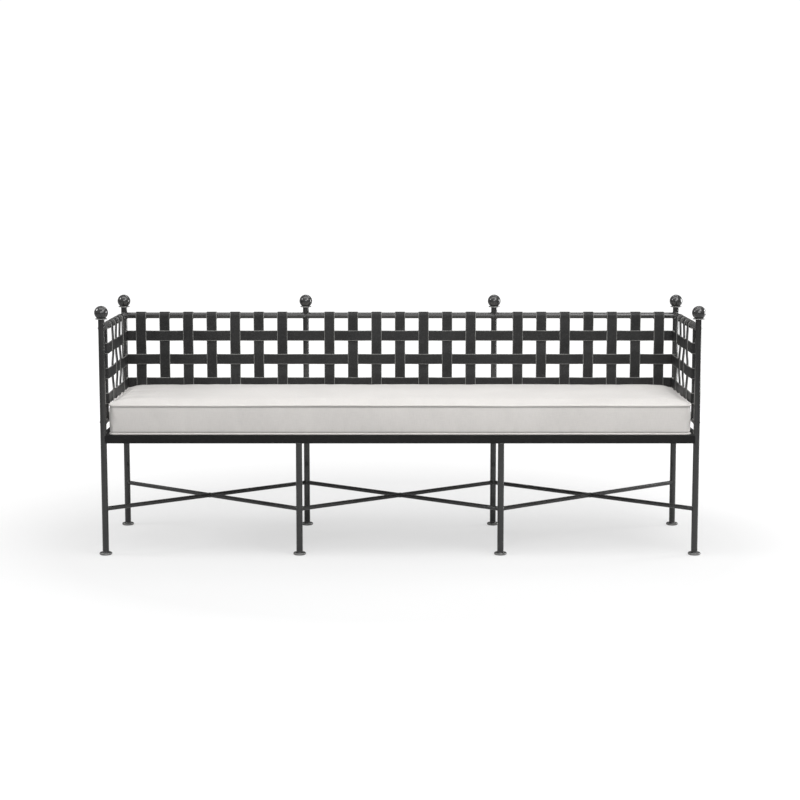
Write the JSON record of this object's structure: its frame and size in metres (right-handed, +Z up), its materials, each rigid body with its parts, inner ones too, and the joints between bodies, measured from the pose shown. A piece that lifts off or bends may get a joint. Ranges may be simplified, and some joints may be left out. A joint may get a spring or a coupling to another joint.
{
  "type": "daybed",
  "caption": "Long iron daybed with a woven flat-strap back and arms, ball-topped tube posts, crossed stretchers below and a loose box cushion.",
  "frame": {"origin": "on the floor, under the middle of the frame", "axes": "+Z up, +X along the length towards the right as seen from the front, -Y towards the front"},
  "size_m": [2.087, 0.582, 0.8641],
  "materials": {
    "frame_iron": "satin charcoal powder coat",
    "strap_iron": "satin charcoal powder coat, finely speckled",
    "cushion_fabric": "warm off-white plain weave",
    "piping_fabric": "warm off-white plain weave over cord",
    "cushion_foam": "open-cell foam"
  },
  "bodies": {
    "frame": {"front_post_left": "frame_iron", "front_post_right": "frame_iron", "front_leg_mid_left": "frame_iron", "front_leg_mid_right": "frame_iron", "rear_post_left": "frame_iron", "rear_post_right": "frame_iron", "rear_post_mid_left": "frame_iron", "rear_post_mid_right": "frame_iron", "finial_front_left": "frame_iron", "finial_front_right": "frame_iron", "finial_rear_left": "frame_iron", "finial_rear_right": "frame_iron", "finial_rear_mid_left": "frame_iron", "finial_rear_mid_right": "frame_iron", "finial_collars": "frame_iron", "foot_front_left": "frame_iron", "foot_front_right": "frame_iron", "foot_front_mid_left": "frame_iron", "foot_front_mid_right": "frame_iron", "foot_rear_left": "frame_iron", "foot_rear_right": "frame_iron", "foot_rear_mid_left": "frame_iron", "foot_rear_mid_right": "frame_iron", "back_top_rail_left": "frame_iron", "back_top_rail_mid": "frame_iron", "back_top_rail_right": "frame_iron", "back_lower_rail_left": "frame_iron", "back_lower_rail_mid": "frame_iron", "back_lower_rail_right": "frame_iron", "arm_top_rail_left": "frame_iron", "arm_top_rail_right": "frame_iron", "arm_lower_rail_left": "frame_iron", "arm_lower_rail_right": "frame_iron", "arm_upright_left": "frame_iron", "arm_upright_right": "frame_iron", "seat_rail_front": "frame_iron", "seat_rail_rear": "frame_iron", "seat_rail_left": "frame_iron", "seat_rail_right": "frame_iron", "stretcher_through_left": "frame_iron", "stretcher_through_mid": "frame_iron", "stretcher_through_right": "frame_iron", "stretcher_halves_left": "frame_iron", "stretcher_halves_mid": "frame_iron", "stretcher_halves_right": "frame_iron", "back_row_top": "strap_iron", "back_row_middle": "strap_iron", "back_row_bottom": "strap_iron", "arm_rows_left": "strap_iron", "arm_rows_right": "strap_iron", "back_straps_left": "strap_iron", "back_straps_mid": "strap_iron", "back_straps_right": "strap_iron", "arm_straps_left": "strap_iron", "arm_straps_right": "strap_iron", "deck_crossbars": "frame_iron", "deck_slats": "strap_iron"},
    "cushion": {"cushion_cover": "cushion_fabric", "cushion_core": "cushion_foam", "cushion_piping": "piping_fabric"}
  },
  "joints": [
    {"name": "cushion_lift", "type": "slide", "parent": "frame", "child": "cushion", "axis": [0, 0, 1], "range_m": [0, 0.2]}
  ]
}
